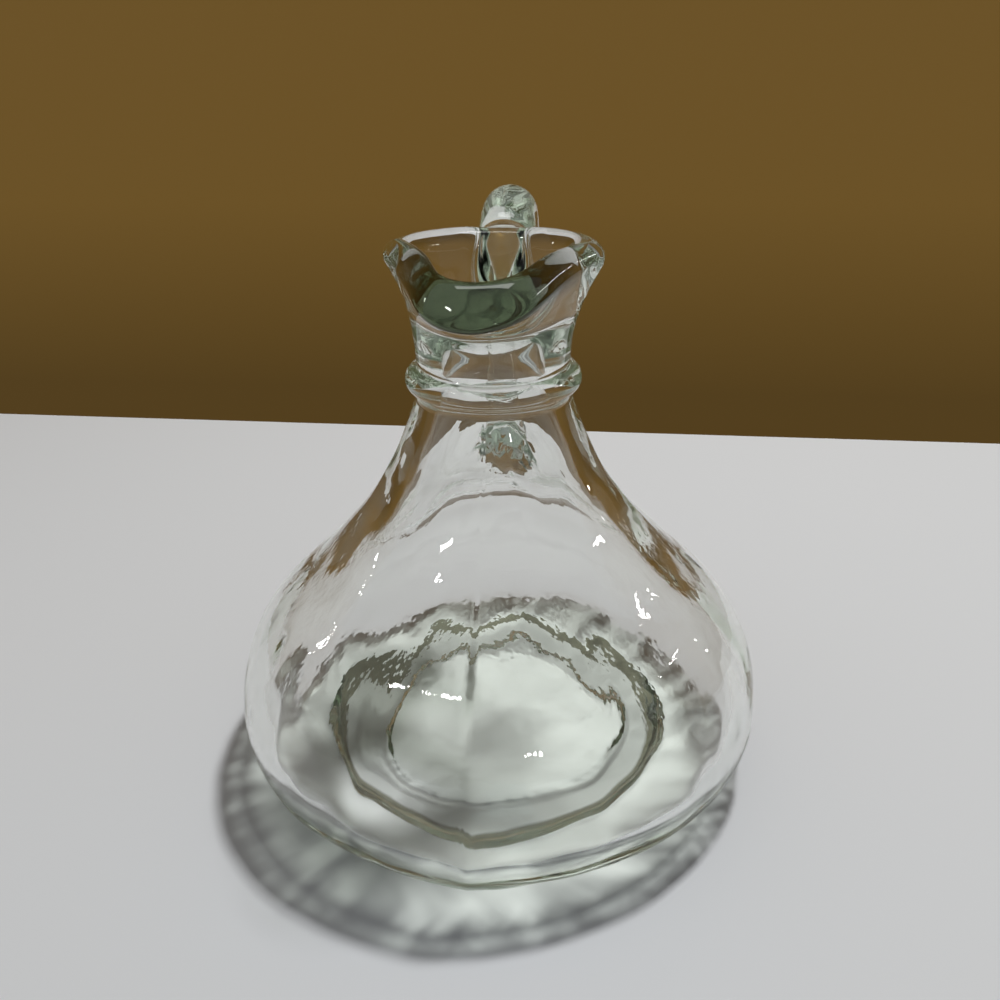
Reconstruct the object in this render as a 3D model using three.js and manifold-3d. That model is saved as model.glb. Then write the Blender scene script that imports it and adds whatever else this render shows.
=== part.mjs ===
// A clear glass cruet in one piece: a squat hollow body on a recessed foot, a neck with a ring,
// a thick flared lip drawn down into a pouring spout, and a round handle from lip to shoulder.
// Millimetres, +Z up. The spout points along -Y and the handle along +Y.
import * as THREE from 'three';
import { mergeVertices } from 'three/addons/utils/BufferGeometryUtils.js';
import Module from 'manifold-3d';

// Body: belly, shoulder and the slope up to the neck; a sweep is how long a curve keeps its direction
const BELLY_RADIUS = 50;
const BELLY_HEIGHT = 13.7;
const BELLY_SWEEP = 15.8;
const HEEL_SWEEP = 13;
const SHOULDER_RADIUS = 35;
const SHOULDER_HEIGHT = 40.1;
const SHOULDER_ANGLE = 0.797;
const SHOULDER_SWEEP_DOWN = 3.4;
const SHOULDER_SWEEP_UP = 15;
const WALL = 3.9;
const SEAM_RISE = 1.3;
const SEAM_WIDTH = 0.3;
const SEAM_FADE = 3.5;

// Foot: a standing ring round a recess, drawn out to a point at each mould seam
const FOOT_RADIUS = 32.2;
const FOOT_EDGE = 1.7;
const FOOT_ROUND = 0.4;
const FOOT_POINT = 3.4;
const RECESS_RADIUS = 24.6;
const RECESS_DEPTH = 1.4;
const RECESS_SLOPE = 0.21;

// Neck
const NECK_RADIUS = 13.4;
const NECK_LEAN = 0.288;
const NECK_SWEEP = 17.4;
const RING_RADIUS = 15.5;
const RING_HEIGHT = 76.2;
const RING_HALF = 2.2;
const BORE_RADIUS = 9.2;
const BORE_DROP = 1.6;
const FUNNEL_RADIUS = 11.5;
const FUNNEL_HEIGHT = 85;
const FUNNEL_SWEEP = 8.9;
const FLARE_SWEEP_UP = 7.4;
const FLARE_SWEEP_DOWN = 6.5;
const FLARE_LEAN = 0.51;

// Lip: a thick rolled edge, widest at its height, with its crest between mouth and outside
const LIP_RADIUS = 18.8;
const LIP_HEIGHT = 96.6;
const LIP_TOP = 99.3;
const LIP_CREST_RADIUS = 15.7;
const LIP_UNDERCUT = 0.5;
const MOUTH_RADIUS = 12.8;
const MOUTH_HEIGHT = 95;
const THROAT_HEIGHT = 87.5;

// Spout: the drop is taken at the mouth and the tilt is added towards the outside of the lip
const SPOUT_START = 82;
const SPOUT_DROP = 1.2;
const SPOUT_TILT = 6.2;
const SPOUT_REACH = 3.6;
const SPOUT_PINCH = 0.6;
const SPOUT_TURN = 0.07;

// Handle: its middle line runs from the root in the lip over the crest and the back to the foot
const HANDLE_RADIUS = 5.3;
const HANDLE_TOP = 104.6;
const HANDLE_REACH = 46;
const HANDLE_ROOT_RADIUS = 11;
const HANDLE_ROOT_HEIGHT = 88.8;
const HANDLE_ROOT_RISE = 0.42;
const HANDLE_CREST_RADIUS = 31.7;
const HANDLE_BACK_HEIGHT = 86.3;
const HANDLE_FOOT_RADIUS = 20.4;
const HANDLE_FOOT_HEIGHT = 53.4;
const HANDLE_FOOT_RISE = 0.72;
const HANDLE_SWEEP = 0.5;
const HANDLE_FLARE = 0.28;
const HANDLE_FLARE_LENGTH = 0.07;
const MOUTH_SKIN = 0.6;

// Fineness
const TURN_STEPS = 60;
const BODY_FACET = 4.4;
const LIP_FACET = 1.5;
const HANDLE_SIDES = 20;
const HANDLE_STEPS = 28;

const wasm = await Module();
wasm.setup();

const point = (radius, height) => new THREE.Vector2(radius, height);

// Outside of the body as three curves: heel, shoulder and the slope up to the neck ring.
const shoulder = point(SHOULDER_RADIUS, SHOULDER_HEIGHT);
const shoulderRun = point(-Math.cos(SHOULDER_ANGLE), Math.sin(SHOULDER_ANGLE));
const neckFoot = point(NECK_RADIUS, RING_HEIGHT - RING_HALF);
const neckRun = point(-Math.sin(NECK_LEAN), Math.cos(NECK_LEAN));
const heelCurve = new THREE.CubicBezierCurve(
  point(FOOT_RADIUS + FOOT_EDGE, FOOT_EDGE),
  point(FOOT_RADIUS + HEEL_SWEEP, FOOT_EDGE),
  point(BELLY_RADIUS, BELLY_HEIGHT / 2),
  point(BELLY_RADIUS, BELLY_HEIGHT),
);
const shoulderCurve = new THREE.CubicBezierCurve(
  point(BELLY_RADIUS, BELLY_HEIGHT),
  point(BELLY_RADIUS, BELLY_HEIGHT + BELLY_SWEEP),
  shoulder.clone().addScaledVector(shoulderRun, -SHOULDER_SWEEP_DOWN),
  shoulder,
);
const slopeCurve = new THREE.CubicBezierCurve(
  shoulder,
  shoulder.clone().addScaledVector(shoulderRun, SHOULDER_SWEEP_UP),
  neckFoot.clone().addScaledVector(neckRun, -NECK_SWEEP),
  neckFoot,
);

// Number of straight pieces that a curve is cut into.
const pieces = (curve, facet) => Math.ceil(curve.getLength() / facet);

// Points of a curve without its first one, which ends the curve before it.
const onwards = (curve, facet) => curve.getPoints(pieces(curve, facet)).slice(1);

// Inner face of a wall, from its top down, where the curve is its outer face from the bottom up.
function inset(curve) {
  const steps = pieces(curve, BODY_FACET);
  const places = curve.getPoints(steps).map((place, index) => {
    const run = curve.getTangent(index / steps);
    return point(place.x - run.y * WALL, place.y + run.x * WALL);
  });
  return places.reverse();
}

// Closed section of the glass: from the middle of the foot up the outside, over the lip, down the inside.
function glassSection() {
  const recess = new THREE.CubicBezierCurve(
    point(RECESS_RADIUS - RECESS_DEPTH, RECESS_DEPTH),
    point(RECESS_RADIUS - RECESS_SLOPE, RECESS_DEPTH),
    point(RECESS_RADIUS + RECESS_SLOPE, 0),
    point(RECESS_RADIUS + RECESS_DEPTH, 0),
  );
  const footEdge = new THREE.CubicBezierCurve(
    point(FOOT_RADIUS - 2 * FOOT_ROUND, 0),
    point(FOOT_RADIUS, 0),
    point(FOOT_RADIUS + FOOT_EDGE / 2 + FOOT_ROUND / 2, FOOT_EDGE - FOOT_ROUND),
    point(FOOT_RADIUS + FOOT_EDGE, FOOT_EDGE),
  );
  const ring = new THREE.EllipseCurve(
    NECK_RADIUS, RING_HEIGHT,
    RING_RADIUS - NECK_RADIUS, RING_HALF,
    -Math.PI / 2, Math.PI / 2,
  );
  const roll = new THREE.EllipseCurve(
    LIP_CREST_RADIUS, LIP_HEIGHT,
    LIP_RADIUS - LIP_CREST_RADIUS, LIP_TOP - LIP_HEIGHT,
    -LIP_UNDERCUT, Math.PI / 2,
  );
  const mouth = new THREE.EllipseCurve(
    LIP_CREST_RADIUS, MOUTH_HEIGHT,
    LIP_CREST_RADIUS - MOUTH_RADIUS, LIP_TOP - MOUTH_HEIGHT,
    Math.PI / 2, Math.PI,
  );
  const boreEnd = point(BORE_RADIUS, RING_HEIGHT - BORE_DROP);
  const funnel = new THREE.CubicBezierCurve(
    point(MOUTH_RADIUS, THROAT_HEIGHT),
    point(FUNNEL_RADIUS, FUNNEL_HEIGHT),
    point(BORE_RADIUS, boreEnd.y + FUNNEL_SWEEP),
    boreEnd,
  );
  const underside = roll.getPoint(0);
  const ringTop = point(NECK_RADIUS, RING_HEIGHT + RING_HALF);
  const flareRun = point(Math.sin(FLARE_LEAN), Math.cos(FLARE_LEAN));
  const flare = new THREE.CubicBezierCurve(
    ringTop,
    point(NECK_RADIUS, ringTop.y + FLARE_SWEEP_UP),
    underside.clone().addScaledVector(flareRun, -FLARE_SWEEP_DOWN),
    underside,
  );
  const innerHeel = inset(heelCurve);
  const innerFloor = innerHeel[innerHeel.length - 1].y;
  return [
    point(0, RECESS_DEPTH),
    ...recess.getPoints(pieces(recess, LIP_FACET)),
    ...footEdge.getPoints(pieces(footEdge, LIP_FACET)),
    ...onwards(heelCurve, BODY_FACET),
    ...onwards(shoulderCurve, BODY_FACET),
    ...onwards(slopeCurve, BODY_FACET),
    ...onwards(ring, LIP_FACET),
    ...onwards(flare, 2 * LIP_FACET),
    ...onwards(roll, LIP_FACET),
    ...onwards(mouth, LIP_FACET),
    ...funnel.getPoints(pieces(funnel, 2 * LIP_FACET)),
    ...inset(slopeCurve),
    ...inset(shoulderCurve).slice(1),
    ...innerHeel.slice(1),
    point(0, innerFloor),
  ];
}

// Two raised mould seams run up the front and back of the body and draw the foot out to a point.
function raiseSeams(place) {
  const radius = Math.hypot(place.x, place.y);
  const fromSeam = Math.asin(Math.min(1, Math.abs(place.x) / Math.max(radius, 1)));
  const body = THREE.MathUtils.smoothstep(radius, FOOT_RADIUS - SEAM_FADE, FOOT_RADIUS + SEAM_FADE);
  const inside = THREE.MathUtils.smoothstep(radius, FOOT_RADIUS / 2, FOOT_RADIUS);
  const outside = THREE.MathUtils.smoothstep(radius, FOOT_RADIUS + SEAM_FADE, BELLY_RADIUS);
  const keel = SEAM_RISE * body + FOOT_POINT * inside * (1 - outside);
  const rise = keel * Math.exp(-fromSeam / SEAM_WIDTH);
  const growth = 1 + rise / Math.max(radius, 1);
  place.x *= growth;
  place.y *= growth;
}

// The front of the lip is drawn forwards and down, most at its outside, and closes in on the spout.
function drawSpout(place) {
  const height = THREE.MathUtils.smoothstep(place.z, SPOUT_START, LIP_TOP);
  const outside = (Math.hypot(place.x, place.y) - MOUTH_RADIUS) / (LIP_RADIUS - MOUTH_RADIUS);
  const turn = Math.atan2(place.x, -place.y) + SPOUT_TURN;
  const facing = Math.max(0, Math.cos(turn));
  const bow = facing * facing;
  place.x *= 1 - SPOUT_PINCH * height * facing * (1 - bow);
  place.y -= SPOUT_REACH * height * bow * bow;
  place.z -= (SPOUT_DROP + SPOUT_TILT * Math.max(0, outside)) * height * bow;
}

// Moves every corner of a geometry by a rule.
function reshape(geometry, rule) {
  const position = geometry.attributes.position;
  const place = new THREE.Vector3();
  for (let i = 0; i < position.count; i += 1) {
    place.fromBufferAttribute(position, i);
    rule(place);
    position.setXYZ(i, place.x, place.y, place.z);
  }
  return geometry;
}

// Turns a section about the upright axis.
function turned(section) {
  const geometry = new THREE.LatheGeometry(section, TURN_STEPS);
  return geometry.rotateX(Math.PI / 2);
}

// Middle line of the handle, in three curves: lip to crest, over to the back, and down to the shoulder.
function handlePath() {
  const place = (back, height) => new THREE.Vector3(0, back, height);
  const aimed = (rise) => place(Math.cos(rise), Math.sin(rise));
  const root = place(HANDLE_ROOT_RADIUS, HANDLE_ROOT_HEIGHT);
  const crest = place(HANDLE_CREST_RADIUS, HANDLE_TOP - HANDLE_RADIUS);
  const back = place(HANDLE_REACH - HANDLE_RADIUS, HANDLE_BACK_HEIGHT);
  const foot = place(HANDLE_FOOT_RADIUS, HANDLE_FOOT_HEIGHT);
  const rootSweep = HANDLE_SWEEP * (crest.y - root.y);
  const bendSweep = HANDLE_SWEEP * (back.y - crest.y);
  const backSweep = HANDLE_SWEEP * (back.z - foot.z);
  const route = new THREE.CurvePath();
  route.add(new THREE.CubicBezierCurve3(
    root,
    root.clone().addScaledVector(aimed(HANDLE_ROOT_RISE), rootSweep),
    place(crest.y - bendSweep, crest.z),
    crest,
  ));
  route.add(new THREE.CubicBezierCurve3(
    crest,
    place(crest.y + bendSweep, crest.z),
    place(back.y, back.z + bendSweep),
    back,
  ));
  route.add(new THREE.CubicBezierCurve3(
    back,
    place(back.y, back.z - backSweep),
    foot.clone().addScaledVector(aimed(HANDLE_FOOT_RISE), backSweep),
    foot,
  ));
  return route;
}

// A round rod bent along the handle's middle line, thicker where it flows into the glass at its foot.
function bentHandle() {
  const path = handlePath();
  const rod = new THREE.CylinderGeometry(1, 1, 1, HANDLE_SIDES, HANDLE_STEPS);
  const side = new THREE.Vector3(1, 0, 0);
  return reshape(rod, (place) => {
    const along = place.y + 0.5;
    const run = path.getTangentAt(along);
    const swell = 1 + HANDLE_FLARE * Math.exp(-(((1 - along) / HANDLE_FLARE_LENGTH) ** 2));
    const across = place.x * HANDLE_RADIUS * swell;
    const outward = place.z * HANDLE_RADIUS * swell;
    const up = new THREE.Vector3().crossVectors(side, run);
    place.copy(path.getPointAt(along)).addScaledVector(side, across).addScaledVector(up, outward);
  });
}

// Room inside the neck and mouth that the handle's root must not reach into.
function mouthRoom() {
  const ceiling = HANDLE_TOP + HANDLE_RADIUS;
  return turned([
    point(0, RING_HEIGHT),
    point(BORE_RADIUS + MOUTH_SKIN, RING_HEIGHT),
    point(MOUTH_RADIUS + MOUTH_SKIN, THROAT_HEIGHT),
    point(MOUTH_RADIUS + MOUTH_SKIN, MOUTH_HEIGHT),
    point(LIP_CREST_RADIUS + MOUTH_SKIN, LIP_TOP - MOUTH_SKIN),
    point(LIP_CREST_RADIUS + MOUTH_SKIN, ceiling),
    point(0, ceiling),
  ]);
}

// Closed solid of a geometry, with its shared corners merged and its flat triangles dropped.
function solidOf(geometry) {
  geometry.deleteAttribute('normal');
  geometry.deleteAttribute('uv');
  const merged = mergeVertices(geometry, 1e-4);
  const corners = Array.from(merged.index.array);
  const triangles = [];
  for (let i = 0; i < corners.length; i += 3) {
    const [a, b, c] = corners.slice(i, i + 3);
    if (a !== b && b !== c && c !== a) triangles.push(a, b, c);
  }
  return new wasm.Manifold(new wasm.Mesh({
    numProp: 3,
    vertProperties: new Float32Array(merged.attributes.position.array),
    triVerts: new Uint32Array(triangles),
  }));
}

function geometryOf(solid) {
  const mesh = solid.getMesh();
  const geometry = new THREE.BufferGeometry();
  geometry.setAttribute('position', new THREE.BufferAttribute(new Float32Array(mesh.vertProperties), 3));
  geometry.setIndex(new THREE.BufferAttribute(new Uint32Array(mesh.triVerts), 1));
  geometry.computeVertexNormals();
  return geometry;
}

const vessel = reshape(turned(glassSection()), (place) => {
  raiseSeams(place);
  drawSpout(place);
});
const handle = solidOf(bentHandle()).subtract(solidOf(mouthRoom()));
const glass = new THREE.MeshStandardMaterial({
  color: 0xdfe6e0,
  roughness: 0.04,
  metalness: 0,
  transparent: true,
  opacity: 0.35,
});
const cruet = new THREE.Mesh(geometryOf(solidOf(vessel).add(handle)), glass);
cruet.name = 'cruet';

const model = new THREE.Group();
model.add(cruet);

export default model;
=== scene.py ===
import math

import bpy
import numpy as np
from mathutils import Matrix, Quaternion, Vector


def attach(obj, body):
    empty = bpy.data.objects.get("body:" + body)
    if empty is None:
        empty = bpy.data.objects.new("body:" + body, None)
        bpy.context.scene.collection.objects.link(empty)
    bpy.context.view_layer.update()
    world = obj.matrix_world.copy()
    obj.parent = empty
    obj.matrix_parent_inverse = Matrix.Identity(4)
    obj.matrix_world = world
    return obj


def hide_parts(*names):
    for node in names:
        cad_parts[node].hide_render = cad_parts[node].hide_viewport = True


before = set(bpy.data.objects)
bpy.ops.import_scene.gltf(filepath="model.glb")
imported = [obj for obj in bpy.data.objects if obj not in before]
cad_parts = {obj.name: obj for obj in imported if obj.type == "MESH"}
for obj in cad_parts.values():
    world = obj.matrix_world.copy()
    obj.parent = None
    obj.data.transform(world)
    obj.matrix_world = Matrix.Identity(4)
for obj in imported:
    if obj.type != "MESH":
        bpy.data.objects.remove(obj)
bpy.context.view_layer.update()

# Wall of the vessel: soda-lime glass, blown in a mould into a squat body on a pressed foot, with a
# ring round the neck and a thick flared lip. It is one outline here, up the outside from the middle
# of the foot, over the lip and down the inside, to be turned about the upright axis.
belly_radius = 0.050
belly_height = 0.0137
belly_sweep = 0.0158
heel_sweep = 0.013
shoulder = np.array([0.035, 0.0401])
shoulder_angle = 0.797
shoulder_sweep_down = 0.0034
shoulder_sweep_up = 0.015
wall = 0.0039
foot_radius = 0.0322
foot_edge = 0.0017
foot_width = 0.0012
foot_round = 0.0004
recess_radius = 0.0246
recess_depth = 0.0014
recess_slope = 0.00021
neck_radius = 0.0134
neck_lean = 0.288
neck_sweep = 0.0174
ring_radius = 0.0155
ring_height = 0.0762
ring_half = 0.0022
bore_radius = 0.0092
bore_drop = 0.0016
flare_sweep_up = 0.0074
flare_sweep_down = 0.0065
flare_lean = 0.51
lip_radius = 0.0188
lip_height = 0.0966
lip_top = 0.0993
lip_crest_radius = 0.0157
lip_undercut = 0.5
mouth = np.array([0.0128, 0.095])
throat_foot = np.array([0.0128, 0.0875])
funnel_bend = np.array([0.0115, 0.085])
funnel_end_height = 0.0835
wall_steps = 30
heel_steps = 22
flare_steps = 18
round_steps = 16
edge_steps = 14
floor_steps = 12
recess_steps = 10
throat_steps = 6
foot_steps = 5


def curve(a, b, c, d, steps):
    """Points of a cubic curve and the direction it runs in at each."""
    t = np.linspace(0.0, 1.0, steps + 1)[:, None]
    a, b, c, d = (np.asarray(place, float) for place in (a, b, c, d))
    points = (1 - t) ** 3 * a + 3 * (1 - t) ** 2 * t * b + 3 * (1 - t) * t**2 * c + t**3 * d
    runs = (1 - t) ** 2 * (b - a) + 2 * (1 - t) * t * (c - b) + t**2 * (d - c)
    return points, runs / np.linalg.norm(runs, axis=1, keepdims=True)


def inset(points, runs, thickness):
    """The inner face of a wall whose outer face is given, from its top down."""
    inwards = np.column_stack([-runs[:, 1], runs[:, 0]])
    return (points + inwards * thickness)[::-1]


def straight(a, b, steps):
    """Points of a straight line, without its first."""
    return np.linspace(a, b, steps + 1)[1:]


def arc(middle, across, up, start, end, steps):
    """Points of a part of an ellipse."""
    turn = np.linspace(start, end, steps + 1)
    return np.column_stack([middle[0] + across * np.cos(turn), middle[1] + up * np.sin(turn)])


shoulder_run = np.array([-math.cos(shoulder_angle), math.sin(shoulder_angle)])
neck_run = np.array([-math.sin(neck_lean), math.cos(neck_lean)])
flare_run = np.array([math.sin(flare_lean), math.cos(flare_lean)])
neck_foot = np.array([neck_radius, ring_height - ring_half])
ring_top = np.array([neck_radius, ring_height + ring_half])
bore_end = np.array([bore_radius, ring_height - bore_drop])
quarter_turn = math.pi / 2
recess, _ = curve(
    (recess_radius - recess_depth, recess_depth), (recess_radius - recess_slope, recess_depth),
    (recess_radius + recess_slope, 0.0), (recess_radius + recess_depth, 0.0), edge_steps,
)
foot, _ = curve(
    (foot_radius - 2 * foot_round, 0.0), (foot_radius, 0.0),
    (foot_radius + (foot_width + foot_round) / 2, foot_edge - foot_round),
    (foot_radius + foot_width, foot_edge), floor_steps,
)
heel = curve(
    (foot_radius + foot_width, foot_edge), (foot_radius + heel_sweep, foot_edge),
    (belly_radius, belly_height / 2), (belly_radius, belly_height), heel_steps,
)
belly = curve(
    (belly_radius, belly_height), (belly_radius, belly_height + belly_sweep),
    shoulder - shoulder_sweep_down * shoulder_run, shoulder, wall_steps,
)
slope = curve(
    shoulder, shoulder + shoulder_sweep_up * shoulder_run,
    neck_foot - neck_sweep * neck_run, neck_foot, wall_steps,
)
ring = arc(
    (neck_radius, ring_height), ring_radius - neck_radius, ring_half,
    -quarter_turn, quarter_turn, round_steps,
)
roll = arc(
    (lip_crest_radius, lip_height), lip_radius - lip_crest_radius, lip_top - lip_height,
    -lip_undercut, quarter_turn, round_steps,
)
flare, _ = curve(
    ring_top, ring_top + (0.0, flare_sweep_up),
    roll[0] - flare_sweep_down * flare_run, roll[0], flare_steps,
)
throat = arc(
    (lip_crest_radius, mouth[1]), lip_crest_radius - mouth[0], lip_top - mouth[1],
    quarter_turn, 2 * quarter_turn, edge_steps,
)
funnel, _ = curve(throat_foot, funnel_bend, (bore_radius, funnel_end_height), bore_end, edge_steps)
inner_slope = inset(*slope, wall)
inner_belly = inset(*belly, wall)
inner_heel = inset(*heel, wall)
glass_section = np.vstack([
    [(0.0, recess_depth)], straight((0.0, recess_depth), recess[0], recess_steps), recess[1:],
    straight(recess[-1], foot[0], foot_steps), foot[1:], heel[0][1:], belly[0][1:], slope[0][1:],
    ring[1:], flare[1:], roll[1:], throat[1:], straight(mouth, throat_foot, throat_steps), funnel[1:],
    inner_slope, inner_belly[1:], inner_heel[1:],
    straight(inner_heel[-1], (0.0, inner_heel[-1][1]), floor_steps),
])

# Turning: the rule that every round part of the glass is made by, as on a turning mould.
# A flat grid has a row for each corner of the section and a column for each step of the turn, and
# is rolled round the upright axis and welded where it meets itself.
weld_reach = 1e-6


class Field:
    """A number at each place on a surface, wired as nodes so that a sum reads as a sum."""

    def __init__(self, tree, socket):
        self.tree = tree
        self.socket = socket

    def maths(self, operation, other=0.0):
        node = self.tree.nodes.new("ShaderNodeMath")
        node.operation = operation
        self.tree.links.new(self.socket, node.inputs[0])
        if isinstance(other, Field):
            self.tree.links.new(other.socket, node.inputs[1])
        else:
            node.inputs[1].default_value = other
        return Field(self.tree, node.outputs[0])

    def __add__(self, other):
        return self.maths("ADD", other)

    def __sub__(self, other):
        return self.maths("SUBTRACT", other)

    def __mul__(self, other):
        return self.maths("MULTIPLY", other)

    def __truediv__(self, other):
        return self.maths("DIVIDE", other)

    def smooth(self, start, end):
        """0 up to the start, 1 from the end on, with a soft step between. The end may be the lower."""
        node = self.tree.nodes.new("ShaderNodeMapRange")
        node.interpolation_type = "SMOOTHSTEP"
        self.tree.links.new(self.socket, node.inputs["Value"])
        node.inputs["From Min"].default_value = start
        node.inputs["From Max"].default_value = end
        return Field(self.tree, node.outputs["Result"])


def new_tree(name, **sizes):
    """A Geometry Nodes tree with a named input for each size, and its input and output nodes."""
    tree = bpy.data.node_groups.new(name, "GeometryNodeTree")
    tree.interface.new_socket("Geometry", in_out="INPUT", socket_type="NodeSocketGeometry")
    tree.interface.new_socket("Geometry", in_out="OUTPUT", socket_type="NodeSocketGeometry")
    for size, value in sizes.items():
        kind = "NodeSocketInt" if isinstance(value, int) else "NodeSocketFloat"
        tree.interface.new_socket(size, in_out="INPUT", socket_type=kind).default_value = value
    start = tree.nodes.new("NodeGroupInput")
    end = tree.nodes.new("NodeGroupOutput")
    return tree, start, end


def vector_of(tree, x, y, z):
    """Three numbers wired together as one vector."""
    join = tree.nodes.new("ShaderNodeCombineXYZ")
    for field, socket in zip((x, y, z), join.inputs):
        tree.links.new(field.socket, socket)
    return join.outputs[0]


def moved(tree, geometry, position=None, offset=None):
    """Moves every corner to a position, or by an offset."""
    node = tree.nodes.new("GeometryNodeSetPosition")
    tree.links.new(geometry, node.inputs["Geometry"])
    if position is not None:
        tree.links.new(position, node.inputs["Position"])
    if offset is not None:
        tree.links.new(offset, node.inputs["Offset"])
    return node.outputs["Geometry"]


turn_tree, turn_in, turn_out = new_tree("turned from a section", Steps=8)
corner_count = turn_tree.nodes.new("GeometryNodeAttributeDomainSize")
turn_tree.links.new(turn_in.outputs["Geometry"], corner_count.inputs["Geometry"])
rows = Field(turn_tree, corner_count.outputs["Point Count"])
steps = Field(turn_tree, turn_in.outputs["Steps"])
grid = turn_tree.nodes.new("GeometryNodeMeshGrid")
turn_tree.links.new((steps + 1).socket, grid.inputs["Vertices X"])
turn_tree.links.new(rows.socket, grid.inputs["Vertices Y"])
corner = Field(turn_tree, turn_tree.nodes.new("GeometryNodeInputIndex").outputs[0])
column = ((corner + 0.5) / rows).maths("FLOOR")
row = corner - column * rows
sample = turn_tree.nodes.new("GeometryNodeSampleIndex")
sample.data_type = "FLOAT_VECTOR"
section_place = turn_tree.nodes.new("GeometryNodeInputPosition")
turn_tree.links.new(turn_in.outputs["Geometry"], sample.inputs["Geometry"])
turn_tree.links.new(section_place.outputs[0], sample.inputs["Value"])
turn_tree.links.new((row + 0.25).socket, sample.inputs["Index"])
section_split = turn_tree.nodes.new("ShaderNodeSeparateXYZ")
turn_tree.links.new(sample.outputs["Value"], section_split.inputs[0])
section_radius = Field(turn_tree, section_split.outputs["X"])
section_height = Field(turn_tree, section_split.outputs["Z"])
angle = column / steps * (2 * math.pi)
turned_x = section_radius * angle.maths("SINE")
turned_y = section_radius * angle.maths("COSINE") * -1
turned_place = vector_of(turn_tree, turned_x, turned_y, section_height)
weld = turn_tree.nodes.new("GeometryNodeMergeByDistance")
weld.inputs["Distance"].default_value = weld_reach
turn_tree.links.new(moved(turn_tree, grid.outputs["Mesh"], position=turned_place), weld.inputs["Geometry"])
turn_tree.links.new(weld.outputs["Geometry"], turn_out.inputs["Geometry"])

# Handle: a round rod of the same glass, drawn out of the back of the lip, bent over and pressed
# on to the shoulder. Its middle line is a smooth curve through four places.
handle_radius = 0.0053
handle_top = 0.1046
handle_reach = 0.046
handle_root = Vector((0.0, 0.011, 0.0888))
handle_root_rise = 0.42
handle_crest = Vector((0.0, 0.0317, handle_top - handle_radius))
handle_back = Vector((0.0, handle_reach - handle_radius, 0.0863))
handle_foot = Vector((0.0, 0.0204, 0.0534))
handle_foot_rise = 0.72
handle_sweep = 0.5
handle_line_steps = 40


def aimed(rise):
    """A direction in the handle's upright plane, from its angle above level."""
    return Vector((0.0, math.cos(rise), math.sin(rise)))


backwards = Vector((0.0, 1.0, 0.0))
upwards = Vector((0.0, 0.0, 1.0))
root_sweep = handle_sweep * (handle_crest.y - handle_root.y)
bend_sweep = handle_sweep * (handle_back.y - handle_crest.y)
back_sweep = handle_sweep * (handle_back.z - handle_foot.z)
handle_stations = [
    (handle_root, Vector(), aimed(handle_root_rise) * root_sweep),
    (handle_crest, backwards * -bend_sweep, backwards * bend_sweep),
    (handle_back, upwards * bend_sweep, upwards * -back_sweep),
    (handle_foot, aimed(handle_foot_rise) * back_sweep, Vector()),
]
handle_line = bpy.data.curves.new("handle_line", "CURVE")
handle_line.dimensions = "3D"
handle_line.resolution_u = handle_line_steps
spline = handle_line.splines.new("BEZIER")
spline.bezier_points.add(len(handle_stations) - 1)
for station, (place, before, after) in zip(spline.bezier_points, handle_stations):
    station.co = place
    station.handle_left_type = "FREE"
    station.handle_right_type = "FREE"
    station.handle_left = place + before
    station.handle_right = place + after
handle_path = bpy.data.objects.new("handle_line", handle_line)
bpy.context.scene.collection.objects.link(handle_path)

# Cruet: soda-lime glass in one piece, clear, with a grey green tint where it is thick. The turned
# vessel gets its two mould seams and its spout, and the handle is melted on to it. The making left
# low waves in the wall and a crumpled patch where the handle's foot was pressed on.
sizes = {
    "Seam rise": 0.0013, "Seam width": 0.3, "Foot point": 0.0034,
    "Spout drop": 0.0012, "Spout tilt": 0.0062, "Spout reach": 0.0036,
    "Spout pinch": 0.6, "Spout turn": 0.07,
    "Handle radius": handle_radius, "Handle flare": 0.28, "Turn steps": 320,
}
axis_gap = 0.001
seam_fade = 0.0035
spout_start = 0.082
room_skin = 0.0006
room_top = 0.11
rod_steps = 120
rod_sides = 48
rod_flare_share = 0.07
joint_reach = 0.0045
joint_rounds = 40
room_section = np.array([
    (0.0, ring_height), (bore_radius + room_skin, ring_height),
    (throat_foot[0] + room_skin, throat_foot[1]), (mouth[0] + room_skin, mouth[1]),
    (lip_crest_radius + room_skin, lip_top - room_skin),
    (lip_crest_radius + room_skin, room_top), (0.0, room_top),
])


def section_object(name, points):
    """An outline kept as bare corners, radius along X and height along Z."""
    mesh = bpy.data.meshes.new(name)
    mesh.from_pydata([(radius, 0.0, height) for radius, height in points], [], [])
    piece = bpy.data.objects.new(name, mesh)
    bpy.context.scene.collection.objects.link(piece)
    return piece


cruet = section_object("cruet_glass", glass_section)
mouth_room = section_object("mouth_room", room_section)
glass_tree, glass_in, glass_out = new_tree("cruet", **sizes)
size = {name: Field(glass_tree, glass_in.outputs[name]) for name in sizes}


def axes():
    """The three coordinates of each corner."""
    place = glass_tree.nodes.new("GeometryNodeInputPosition")
    split = glass_tree.nodes.new("ShaderNodeSeparateXYZ")
    glass_tree.links.new(place.outputs["Position"], split.inputs[0])
    return [Field(glass_tree, socket) for socket in split.outputs]


def turned_from(geometry):
    """The solid that a section makes when it is turned."""
    node = glass_tree.nodes.new("GeometryNodeGroup")
    node.node_tree = turn_tree
    glass_tree.links.new(geometry, node.inputs["Geometry"])
    glass_tree.links.new(size["Turn steps"].socket, node.inputs["Steps"])
    return node.outputs["Geometry"]


def object_geometry(thing):
    """The corners or the line of another object, read into the tree."""
    node = glass_tree.nodes.new("GeometryNodeObjectInfo")
    node.inputs["Object"].default_value = thing
    return node.outputs["Geometry"]


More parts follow.
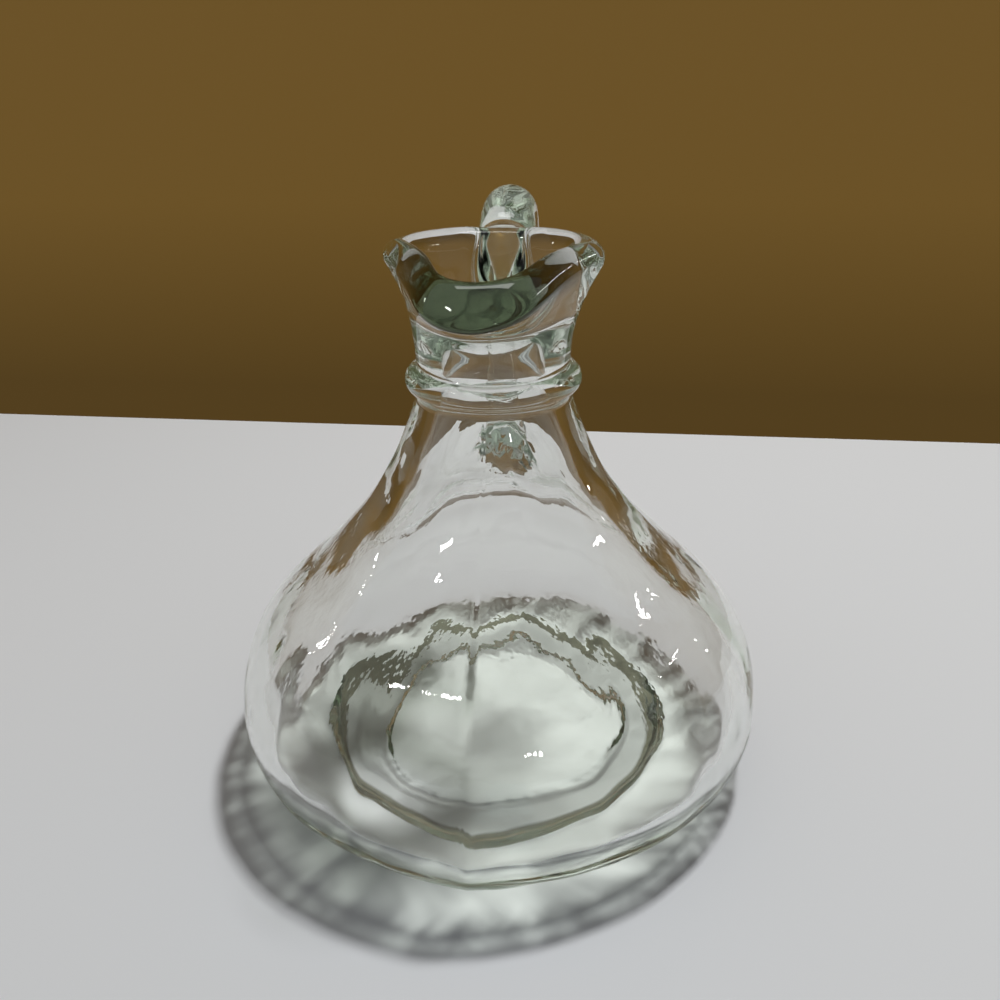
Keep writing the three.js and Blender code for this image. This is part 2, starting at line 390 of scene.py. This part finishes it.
x, y, z = axes()
radius = (x * x + y * y).maths("SQRT").maths("MAXIMUM", axis_gap)
from_seam = (x.maths("ABSOLUTE") / radius).maths("MINIMUM", 1.0).maths("ARCSINE")
on_body = radius.smooth(foot_radius - seam_fade, foot_radius + seam_fade)
on_foot = radius.smooth(foot_radius / 2, foot_radius) * radius.smooth(belly_radius, foot_radius + seam_fade)
keel = size["Seam rise"] * on_body + size["Foot point"] * on_foot
seam_rise = keel * (from_seam / size["Seam width"] * -1).maths("EXPONENT")
growth = seam_rise / radius + 1
seamed_place = vector_of(glass_tree, x * growth, y * growth, z)
vessel = moved(glass_tree, turned_from(glass_in.outputs["Geometry"]), position=seamed_place)

# The thick front of the lip is marked for a dark green painted shade before the spout is drawn out.
lip_shade_foot = lip_height - 0.0045
lip_shade_full = lip_height - 0.001
lip_shade_wide = (-0.1, 0.5)
lip_shade_near = (0.15, 0.85)
lip_shade_core = 0.2
x, y, z = axes()
frontward = (x.maths("ARCTAN2", y * -1) + size["Spout turn"]).maths("COSINE").maths("MAXIMUM", 0.0)
lip_front = frontward.smooth(*lip_shade_wide) * (1 - lip_shade_core)
lip_front = lip_front + frontward.smooth(*lip_shade_near) * lip_shade_core
lip_mark = glass_tree.nodes.new("GeometryNodeStoreNamedAttribute")
lip_mark.inputs["Name"].default_value = "lip"
glass_tree.links.new(vessel, lip_mark.inputs["Geometry"])
glass_tree.links.new((z.smooth(lip_shade_foot, lip_shade_full) * lip_front).socket, lip_mark.inputs["Value"])

lifted = z.smooth(spout_start, lip_top)
bow = frontward * frontward
pinch = size["Spout pinch"] * lifted * frontward * (bow * -1 + 1)
outward = ((x * x + y * y).maths("SQRT") - mouth[0]) / (lip_radius - mouth[0])
drop = size["Spout drop"] + size["Spout tilt"] * outward.maths("MAXIMUM", 0.0)
spout_place = vector_of(
    glass_tree, x * (pinch * -1 + 1), y - size["Spout reach"] * lifted * bow * bow, z - drop * lifted * bow,
)
vessel = moved(glass_tree, lip_mark.outputs["Geometry"], position=spout_place)

even = glass_tree.nodes.new("GeometryNodeResampleCurve")
even.inputs["Count"].default_value = rod_steps
glass_tree.links.new(object_geometry(handle_path), even.inputs["Curve"])
along = Field(glass_tree, glass_tree.nodes.new("GeometryNodeSplineParameter").outputs["Factor"])
to_foot = (along * -1 + 1) / rod_flare_share
swell = size["Handle flare"] * (to_foot * to_foot * -1).maths("EXPONENT") + 1
round_bar = glass_tree.nodes.new("GeometryNodeCurvePrimitiveCircle")
round_bar.inputs["Resolution"].default_value = rod_sides
round_bar.inputs["Radius"].default_value = 1.0
rod = glass_tree.nodes.new("GeometryNodeCurveToMesh")
rod.inputs["Fill Caps"].default_value = True
glass_tree.links.new(even.outputs["Curve"], rod.inputs["Curve"])
glass_tree.links.new(round_bar.outputs["Curve"], rod.inputs["Profile Curve"])
glass_tree.links.new((size["Handle radius"] * swell).socket, rod.inputs["Scale"])


def combined(operation, first, second):
    """Two solids fused, or the second cut out of the first."""
    node = glass_tree.nodes.new("GeometryNodeMeshBoolean")
    node.operation = operation
    node.solver = "MANIFOLD"
    glass_tree.links.new(first, node.inputs["Mesh 1" if operation == "DIFFERENCE" else "Mesh 2"])
    glass_tree.links.new(second, node.inputs["Mesh 2"])
    return node.outputs["Mesh"]


def near(geometry, reach):
    """1 on a geometry's surface, 0 beyond a reach from it."""
    node = glass_tree.nodes.new("GeometryNodeProximity")
    node.target_element = "FACES"
    glass_tree.links.new(geometry, node.inputs["Geometry"])
    return Field(glass_tree, node.outputs["Distance"]).smooth(reach, 0.0)


handle = combined("DIFFERENCE", rod.outputs["Mesh"], turned_from(object_geometry(mouth_room)))
joint = near(vessel, joint_reach) * near(handle, joint_reach)
melted = glass_tree.nodes.new("GeometryNodeBlurAttribute")
melted.data_type = "FLOAT_VECTOR"
melted.inputs["Iterations"].default_value = joint_rounds
glass_tree.links.new(glass_tree.nodes.new("GeometryNodeInputPosition").outputs[0], melted.inputs["Value"])
glass_tree.links.new(joint.socket, melted.inputs["Weight"])
glass = moved(glass_tree, combined("UNION", vessel, handle), position=melted.outputs["Value"])

# Waves of the wall, calm on the foot, the neck and the lip, and the crumpled foot of the handle.
wave_up_pitch = 0.016
wave_pitch = 0.013
wave_depth = 0.0009
fine_wave_pitch = 0.005
fine_wave_depth = 0.0001
crumple_pitch = 0.0023
crumple_depth = 0.0050
crumple_reach = 0.0025
pressed_radius = 0.010
fine_wave_heights = (0.020, 0.038)
foot_calm_heights = (0.0006, 0.005)
neck_calm_heights = (0.060, 0.075)
neck_calm = 0.7
lip_calm_heights = (0.085, 0.095)
lip_calm = 0.2


def ripples(around, up, depth):
    """An even ripple of a depth, with a pitch round the glass and another up it."""
    x, y, z = axes()
    noise = glass_tree.nodes.new("ShaderNodeTexNoise")
    noise.inputs["Scale"].default_value = 1.0
    noise.inputs["Detail"].default_value = 1.0
    glass_tree.links.new(vector_of(glass_tree, x / around, y / around, z / up), noise.inputs["Vector"])
    return (Field(glass_tree, noise.outputs["Fac"]) - 0.5) * depth


x, y, z = axes()
behind_foot = y - handle_foot.y
above_foot = z - handle_foot.z
from_foot = (x * x + behind_foot * behind_foot + above_foot * above_foot) / pressed_radius**2
pressed = (from_foot * -1).maths("EXPONENT")
waves = ripples(wave_pitch, wave_up_pitch, wave_depth)
waves = waves + ripples(fine_wave_pitch, wave_up_pitch, fine_wave_depth) * z.smooth(*fine_wave_heights)
waves = waves * z.smooth(*foot_calm_heights)
waves = waves * (z.smooth(*neck_calm_heights) * -neck_calm - z.smooth(*lip_calm_heights) * lip_calm + 1)
crumple = ripples(crumple_pitch, crumple_pitch, crumple_depth) * pressed * near(handle, crumple_reach)
push = glass_tree.nodes.new("ShaderNodeVectorMath")
push.operation = "SCALE"
glass_tree.links.new(glass_tree.nodes.new("GeometryNodeInputNormal").outputs["Normal"], push.inputs[0])
glass_tree.links.new((waves + crumple).socket, push.inputs["Scale"])
glass = moved(glass_tree, glass, offset=push.outputs["Vector"])

# The glass: clear, a little green in depth, with fine draw lines up the wall and thin seam lines.
# Its colour also holds painted shade: dark green on the front of the lip, dark olive round the foot's edge.
glass_colour = (0.62, 0.80, 0.58, 1.0)
glass_depth = 9.0
glass_index = 1.5
# Dark green painted shade for the front of the lip.
lip_shade_colour = (0.013, 0.023, 0.007, 1.0)
# Dark olive painted shade for the edge of the foot.
foot_shade_colour = (0.075, 0.072, 0.040, 1.0)
foot_shade_heights = (0.0016, 0.0012)
foot_shade_radii = (0.0306, 0.0313)
foot_seam_share = 1 / 3
lines_per_metre = (800.0, 800.0, 110.0)
line_relief = 0.00003
line_start_heights = (0.024, 0.036)
line_neck_heights = (0.042, 0.060)
line_neck_calm = 0.75
line_lip_heights = (0.080, 0.090)
line_lip_calm = 0.25
seam_line_heights = (0.003, 0.012)
seam_line_half = 0.0003
seam_line_share = 0.22
clear_glass = bpy.data.materials.new("clear_glass")
clear_glass.use_nodes = True
shade = clear_glass.node_tree
nodes = shade.nodes
links = shade.links
shader = nodes["Principled BSDF"]
shader.inputs["Roughness"].default_value = 0.0
shader.inputs["IOR"].default_value = glass_index
shader.inputs["Transmission Weight"].default_value = 1.0
depth_tint = nodes.new("ShaderNodeVolumeAbsorption")
depth_tint.inputs["Color"].default_value = glass_colour
depth_tint.inputs["Density"].default_value = glass_depth
links.new(depth_tint.outputs["Volume"], nodes["Material Output"].inputs["Volume"])
places = nodes.new("ShaderNodeTexCoord")
place_split = nodes.new("ShaderNodeSeparateXYZ")
links.new(places.outputs["Object"], place_split.inputs[0])
across, deep, height = (Field(shade, socket) for socket in place_split.outputs)
from_middle = (across * across + deep * deep).maths("SQRT").maths("MAXIMUM", axis_gap)

stretch = nodes.new("ShaderNodeMapping")
stretch.inputs["Scale"].default_value = lines_per_metre
links.new(places.outputs["Object"], stretch.inputs["Vector"])
draw_lines = nodes.new("ShaderNodeTexNoise")
draw_lines.inputs["Scale"].default_value = 1.0
draw_lines.inputs["Detail"].default_value = 1.5
links.new(stretch.outputs["Vector"], draw_lines.inputs["Vector"])
neck_fade = height.smooth(*line_neck_heights) * -line_neck_calm
line_fade = neck_fade - height.smooth(*line_lip_heights) * line_lip_calm + 1
lines = Field(shade, draw_lines.outputs["Fac"]) * height.smooth(*line_start_heights) * line_fade
seam_line = (across * across / seam_line_half**2 * -1).maths("EXPONENT") * height.smooth(*seam_line_heights)
relief = nodes.new("ShaderNodeBump")
relief.inputs["Strength"].default_value = 1.0
relief.inputs["Distance"].default_value = line_relief
links.new((lines + seam_line * seam_line_share).socket, relief.inputs["Height"])
links.new(relief.outputs["Normal"], shader.inputs["Normal"])


def tinted(share, colour, under=None):
    """A colour laid over white, or over another colour, as far as a share from 0 to 1 says."""
    node = nodes.new("ShaderNodeMix")
    node.data_type = "RGBA"
    node.inputs["A"].default_value = (1.0, 1.0, 1.0, 1.0)
    node.inputs["B"].default_value = colour
    links.new(share, node.inputs["Factor"])
    if under is not None:
        links.new(under, node.inputs["A"])
    return node


# The front of the lip takes its dark green painted shade, as far as the lip mark says.
lip_share = nodes.new("ShaderNodeAttribute")
lip_share.attribute_name = "lip"
lip_shade = tinted(lip_share.outputs["Fac"], lip_shade_colour)
# A dark olive ring of painted shade round the edge of the foot, following the foot's points at the seams.
seam_angle = (across.maths("ABSOLUTE") / from_middle).maths("MINIMUM", 1.0).maths("ARCSINE")
foot_point = (seam_angle / sizes["Seam width"] * -1).maths("EXPONENT")
foot_point = foot_point * (sizes["Foot point"] + sizes["Seam rise"] * foot_seam_share)
foot_shade_share = height.smooth(*foot_shade_heights) * (from_middle - foot_point).smooth(*foot_shade_radii)
foot_shade = tinted(foot_shade_share.socket, foot_shade_colour, lip_shade.outputs["Result"])
links.new(foot_shade.outputs["Result"], shader.inputs["Base Color"])

# Painted light and shade on the floor, laid into the colour that lamp rays take through the glass: light
# gathered under the foot, shade where the wall is edge on, at the rings of the foot and on the left of the
# belly, and streaks drawn out from the middle. A ring of the foot is a start and an end radius and the
# share of the light that it holds back, or adds if it is below 0.
gathered_light = (1.42, 1.43, 1.405, 1.0)
held_light = (0.06, 0.06, 0.06, 1.0)
wall_heights = (0.012, 0.022)
wall_share = 0.31
held_share = 0.69
middle_spot = (0.014, 0.003, 0.40)
foot_band = (0.0248, 0.0264, 0.32)
past_foot = (0.031, 0.034, -0.30)
outer_heel = (0.042, 0.047, 0.22)
recess_shade_line_start = (0.0253, 0.0259)
recess_shade_line_end = (0.0272, 0.0265)
recess_shade_line_share = 0.40
foot_ring_heights = (0.008, 0.005)
heel_light_radii = (0.033, 0.037)
heel_light_heights = (0.016, 0.009)
heel_light_share = -0.20
belly_shade_radii = (0.0445, 0.0495)
belly_shade_least = 0.24
belly_left_reach = (0.0, -0.045)
belly_left_share = 0.55
streak_turns = 15.0
streaks_per_metre = 90.0
streak_middle = 0.455
streak_strength = 4.5
edge_on = nodes.new("ShaderNodeLayerWeight")
edge_on.inputs["Blend"].default_value = 0.5
edge_share = Field(shade, edge_on.outputs["Facing"])
streak_noise = nodes.new("ShaderNodeTexNoise")
streak_noise.inputs["Scale"].default_value = 1.0
streak_noise.inputs["Detail"].default_value = 1.5
streak_x = across / from_middle * streak_turns
streak_y = deep / from_middle * streak_turns
streak_z = from_middle * streaks_per_metre
links.new(vector_of(shade, streak_x, streak_y, streak_z), streak_noise.inputs["Vector"])
streaks = (Field(shade, streak_noise.outputs["Fac"]) - streak_middle) * streak_strength * edge_share
# A thin painted shadow line on the floor under the recess edge, and painted rings of light and shade under
# the foot.
recess_shade_line = from_middle.smooth(*recess_shade_line_start) * from_middle.smooth(*recess_shade_line_end)
foot_ring_shade = recess_shade_line * recess_shade_line_share
for start_radius, end_radius, share in (middle_spot, foot_band, past_foot, outer_heel):
    foot_ring_shade = foot_ring_shade + from_middle.smooth(start_radius, end_radius) * share
foot_ring_shade = foot_ring_shade * height.smooth(*foot_ring_heights)
heel_light = from_middle.smooth(*heel_light_radii) * height.smooth(*heel_light_heights) * heel_light_share
# Painted shade, deeper on the left side of the belly's shadow.
belly_left = across.smooth(*belly_left_reach) * belly_left_share
belly_shade = from_middle.smooth(*belly_shade_radii) * (belly_left + belly_shade_least)
held = edge_share * edge_share + streaks + foot_ring_shade + heel_light + belly_shade
shadow_share = held * held_share + height.smooth(*wall_heights) * wall_share
shadow_tint = tinted(shadow_share.socket, held_light)
shadow_tint.inputs["A"].default_value = gathered_light
let_through = nodes.new("ShaderNodeBsdfTransparent")
links.new(shadow_tint.outputs["Result"], let_through.inputs["Color"])
ray = nodes.new("ShaderNodeLightPath")
with_shadow = nodes.new("ShaderNodeMixShader")
links.new(ray.outputs["Is Shadow Ray"], with_shadow.inputs["Fac"])
links.new(shader.outputs["BSDF"], with_shadow.inputs[1])
links.new(let_through.outputs["BSDF"], with_shadow.inputs[2])
links.new(with_shadow.outputs["Shader"], nodes["Material Output"].inputs["Surface"])

soft_faces = glass_tree.nodes.new("GeometryNodeSetShadeSmooth")
real = glass_tree.nodes.new("GeometryNodeRealizeInstances")
finish = glass_tree.nodes.new("GeometryNodeSetMaterial")
finish.inputs["Material"].default_value = clear_glass
glass_tree.links.new(glass, soft_faces.inputs["Geometry"])
glass_tree.links.new(soft_faces.outputs["Geometry"], real.inputs["Geometry"])
glass_tree.links.new(real.outputs["Geometry"], finish.inputs["Geometry"])
glass_tree.links.new(finish.outputs["Geometry"], glass_out.inputs["Geometry"])
making = cruet.modifiers.new("glass", "NODES")
making.node_group = glass_tree
for item in glass_tree.interface.items_tree:
    if item.in_out == "INPUT" and item.name in sizes:
        making[item.identifier] = sizes[item.name]
bpy.context.view_layer.update()
evaluated = cruet.evaluated_get(bpy.context.evaluated_depsgraph_get())
glass_mesh = bpy.data.meshes.new_from_object(evaluated)
cruet.modifiers.remove(making)
cruet.data = glass_mesh
for helper in (mouth_room, handle_path):
    bpy.data.objects.remove(helper)
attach(cruet, "root")
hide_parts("cruet")

# Floor: a plain pale matt sheet that the cruet stands on, a hair below its foot. Its far edge runs
# a little askew behind the cruet. It is there for the picture alone.
floor_half = 2.0
floor_back = 0.1792
floor_skew = 0.0158
floor_height = -0.0003
floor_colour = (0.745, 0.765, 0.785)
floor_roughness = 0.7


def flat_material(name, colour, roughness):
    """An even colour without gloss."""
    material = bpy.data.materials.new(name)
    material.use_nodes = True
    surface = material.node_tree.nodes["Principled BSDF"]
    surface.inputs["Base Color"].default_value = (*colour, 1.0)
    surface.inputs["Roughness"].default_value = roughness
    return material


def sheet(name, corners, material):
    """A flat piece of the stage, from its four corners."""
    mesh = bpy.data.meshes.new(name)
    mesh.from_pydata(corners, [], [(0, 1, 2, 3)])
    mesh.materials.append(material)
    thing = bpy.data.objects.new(name, mesh)
    bpy.context.scene.collection.objects.link(thing)


floor_corners = [
    (-floor_half, -floor_half, floor_height),
    (floor_half, -floor_half, floor_height),
    (floor_half, floor_back - floor_skew * floor_half, floor_height),
    (-floor_half, floor_back + floor_skew * floor_half, floor_height),
]
sheet("floor", floor_corners, flat_material("pale_floor", floor_colour, floor_roughness))

# Backdrop: a plain upright sheet behind the floor, painted a dull brown. Its brown is painted light: it
# glows with its own light of one colour, fading towards its foot as painted shade, so that no lamp leaves a
# bright patch on it.
backdrop_place = 0.35
backdrop_foot = -0.8
backdrop_top = 1.2
backdrop_colour = (0.02, 0.012, 0.003)
backdrop_glow = (0.133, 0.074, 0.0135, 1.0)
backdrop_roughness = 0.9
fade_start = -0.04
fade_end = 0.06
fade_least = 0.57
backdrop_paint = flat_material("plain_backdrop", backdrop_colour, backdrop_roughness)
paint_nodes = backdrop_paint.node_tree.nodes
paint_links = backdrop_paint.node_tree.links
paint_place = paint_nodes.new("ShaderNodeTexCoord")
paint_split = paint_nodes.new("ShaderNodeSeparateXYZ")
backdrop_glow_fade = paint_nodes.new("ShaderNodeMapRange")
backdrop_glow_fade.inputs["From Min"].default_value = fade_start
backdrop_glow_fade.inputs["From Max"].default_value = fade_end
backdrop_glow_fade.inputs["To Min"].default_value = fade_least
paint_links.new(paint_place.outputs["Object"], paint_split.inputs[0])
paint_links.new(paint_split.outputs["Z"], backdrop_glow_fade.inputs["Value"])
paint = paint_nodes["Principled BSDF"]
# Painted light: the backdrop's glow, weaker towards its foot as painted shade.
paint.inputs["Emission Color"].default_value = backdrop_glow
paint_links.new(backdrop_glow_fade.outputs["Result"], paint.inputs["Emission Strength"])
backdrop_corners = [
    (-floor_half, backdrop_place, backdrop_foot),
    (floor_half, backdrop_place, backdrop_foot),
    (floor_half, backdrop_place, backdrop_top),
    (-floor_half, backdrop_place, backdrop_top),
]
sheet("backdrop", backdrop_corners, backdrop_paint)

# Lamps: one soft box overhead lights the floor and casts the shadow. The others only show as glints
# and pale bands on the glass: small square panels, a thin tube to the right and a broad ceiling panel.
lit_place = Vector((0.0, 0.0, 0.04))
overhead_place = (0.22, 0.26, 0.95)
overhead_width = 0.10
overhead_power = 6.2
tube_place = (0.77, 0.17, 0.42)
tube_length = 0.20
tube_width = 0.008
tube_power = 0.25
tube_turn = -0.35
ceiling_place = (0.0, 0.0, 1.2)
ceiling_width = 1.0
ceiling_depth = 0.25
ceiling_power = 3.5
glint_power = 160.0
glints = [
    ((-1.31, 0.28, 0.67), 0.035, 0.035),
    ((-1.33, 0.27, 0.60), 0.03, 0.03),
    ((0.64, 0.30, 0.165), 0.013, 0.013),
    ((0.61, 0.32, 0.225), 0.010, 0.010),
    ((-1.22, -0.86, 1.38), 0.30, 0.06),
    ((0.93, -1.70, 0.65), 0.05, 0.05),
]


def soft_box(name, place, width, depth, power, turn=0.0):
    """A flat lamp that faces the cruet and isn't seen through the glass."""
    lamp = bpy.data.lights.new(name, "AREA")
    lamp.shape = "RECTANGLE"
    lamp.size = width
    lamp.size_y = depth
    lamp.energy = power
    thing = bpy.data.objects.new(name, lamp)
    thing.location = place
    aim = (lit_place - Vector(place)).to_track_quat("-Z", "Y")
    thing.rotation_euler = (aim @ Quaternion((0.0, 0.0, 1.0), turn)).to_euler()
    thing.visible_transmission = False
    bpy.context.scene.collection.objects.link(thing)
    return thing


overhead = soft_box("overhead", overhead_place, overhead_width, overhead_width, overhead_power)
overhead.visible_glossy = False
mirrored = [
    soft_box(f"lamp_{number}", place, width, depth, glint_power * width * depth)
    for number, (place, width, depth) in enumerate(glints)
]
mirrored.append(soft_box("tube", tube_place, tube_length, tube_width, tube_power, turn=tube_turn))
mirrored.append(soft_box("ceiling", ceiling_place, ceiling_width, ceiling_depth, ceiling_power))
for lamp in mirrored:
    lamp.visible_diffuse = False

# Room light: an even pale glow from all round, a little stronger from above. Light may cross the
# glass many times before it leaves, as it does in the thick ring, lip and handle.
glow_colour = (0.95, 0.98, 1.0, 1.0)
glow_low = 0.16
glow_high = 0.28
glow_start = -0.1
glow_end = 0.9
glass_bounces = 24
floor_bounces = 2
world = bpy.data.worlds.new("room_light")
world.use_nodes = True
sky = world.node_tree
sky_light = sky.nodes["Background"]
sky_place = sky.nodes.new("ShaderNodeTexCoord")
sky_split = sky.nodes.new("ShaderNodeSeparateXYZ")
sky_fade = sky.nodes.new("ShaderNodeMapRange")
sky_fade.inputs["From Min"].default_value = glow_start
sky_fade.inputs["From Max"].default_value = glow_end
sky_fade.inputs["To Min"].default_value = glow_low
sky_fade.inputs["To Max"].default_value = glow_high
sky.links.new(sky_place.outputs["Generated"], sky_split.inputs[0])
sky.links.new(sky_split.outputs["Z"], sky_fade.inputs["Value"])
sky.links.new(sky_fade.outputs["Result"], sky_light.inputs["Strength"])
sky_light.inputs["Color"].default_value = glow_colour
bpy.context.scene.world = world
bpy.context.scene.view_settings.view_transform = "Standard"
light_paths = bpy.context.scene.cycles
light_paths.caustics_refractive = False
light_paths.caustics_reflective = False
light_paths.max_bounces = glass_bounces
light_paths.transmission_bounces = glass_bounces
light_paths.glossy_bounces = glass_bounces
light_paths.diffuse_bounces = floor_bounces

# Camera: held close and a little above the rim, looking down at the spout, a few degrees off to its
# right, and tipped by about one degree.
view_turn = math.radians(6.6)
view_down = math.radians(24.46)
view_roll = math.radians(0.89)
view_distance = 0.16212
view_height = 0.12588
view_side = 0.0008
sensor_width = 36.0
focal_share = 0.960
nearest_view = 0.01
right = Vector((math.cos(view_turn), math.sin(view_turn), 0.0))
away = Vector((-math.sin(view_turn), math.cos(view_turn), 0.0))
forward = away * math.cos(view_down) - upwards * math.sin(view_down)
up = right.cross(forward)
rolled_right = right * math.cos(view_roll) - up * math.sin(view_roll)
rolled_up = right * math.sin(view_roll) + up * math.cos(view_roll)
camera_data = bpy.data.cameras.new("camera")
camera_data.sensor_width = sensor_width
camera_data.lens = sensor_width * focal_share
camera_data.clip_start = nearest_view
camera = bpy.data.objects.new("camera", camera_data)
camera_place = right * view_side - away * view_distance + upwards * view_height
camera_turn = Matrix((rolled_right, rolled_up, -forward)).transposed()
camera.matrix_world = Matrix.Translation(camera_place) @ camera_turn.to_4x4()
bpy.context.scene.collection.objects.link(camera)
bpy.context.scene.camera = camera
